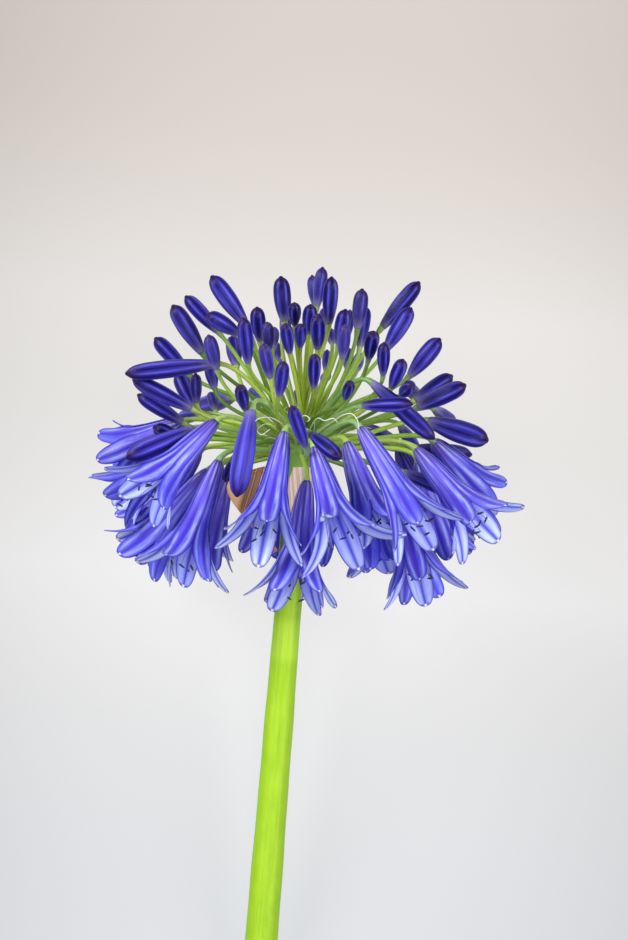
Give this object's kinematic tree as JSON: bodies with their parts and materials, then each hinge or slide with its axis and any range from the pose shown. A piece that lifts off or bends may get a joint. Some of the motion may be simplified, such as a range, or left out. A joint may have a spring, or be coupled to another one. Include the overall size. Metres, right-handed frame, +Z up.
{
  "type": "african lily flower",
  "caption": "Cut agapanthus flower lying on its side: a round head of blue-violet funnel blooms and indigo buds on a long green stalk.",
  "frame": {"origin": "on the surface under the middle of the flower's bounding box", "axes": "+Z up from the surface that the flower lies on, +Y along the stalk towards the head, +X across the head"},
  "size_m": [0.1553, 0.2593, 0.1234],
  "materials": {
    "stalk_green": "smooth waxy green",
    "dry_bract": "dry papery tan with brown streaks",
    "petal_violet": "satin blue-violet with darker mid veins",
    "bud_indigo": "glossy dark indigo"
  },
  "bodies": {
    "root": {"bloom_centre_hidden": "petal_violet", "bloom_centre_left": "petal_violet", "bloom_centre_left_back": "petal_violet", "bloom_centre_low": "petal_violet", "bloom_centre_low_back": "petal_violet", "bloom_centre_right": "petal_violet", "bloom_centre_right_back": "petal_violet", "bloom_left_behind": "petal_violet", "bloom_left_bottom": "petal_violet", "bloom_left_bottom_back": "petal_violet", "bloom_left_front": "petal_violet", "bloom_left_hidden": "petal_violet", "bloom_left_inner": "petal_violet", "bloom_left_low": "petal_violet", "bloom_left_low_back": "petal_violet", "bloom_left_middle": "petal_violet", "bloom_left_side": "petal_violet", "bloom_right_front": "petal_violet", "bloom_right_grey": "petal_violet", "bloom_right_hidden": "petal_violet", "bloom_right_inner": "petal_violet", "bloom_right_low": "petal_violet", "bloom_right_low_back": "petal_violet", "bloom_right_middle": "petal_violet", "bloom_right_outer": "petal_violet", "bloom_right_outer_back": "petal_violet", "bloom_right_side": "petal_violet", "bud_front_dark": "bud_indigo", "bud_front_pale": "bud_indigo", "bud_hanging": "bud_indigo", "bud_left_long": "bud_indigo", "bud_left_low": "bud_indigo", "bud_rest_left": "bud_indigo", "bud_rest_right": "bud_indigo", "bud_right_drooping": "bud_indigo", "bud_right_front": "bud_indigo", "bud_right_low": "bud_indigo", "bud_right_opening": "bud_indigo", "buds_back": "bud_indigo", "buds_back_left": "bud_indigo", "buds_front": "bud_indigo", "buds_front_left": "bud_indigo", "buds_left_back": "bud_indigo", "buds_left_front": "bud_indigo", "buds_left_high": "bud_indigo", "buds_left_side": "bud_indigo", "buds_right_back": "bud_indigo", "buds_right_front": "bud_indigo", "buds_right_high": "bud_indigo", "buds_right_low_back": "bud_indigo", "buds_right_side": "bud_indigo", "buds_top": "bud_indigo", "buds_top_back": "bud_indigo", "buds_top_left": "bud_indigo", "buds_top_right": "bud_indigo", "scape": "stalk_green", "spathe_left": "dry_bract", "spathe_right": "dry_bract"}
  },
  "joints": []
}
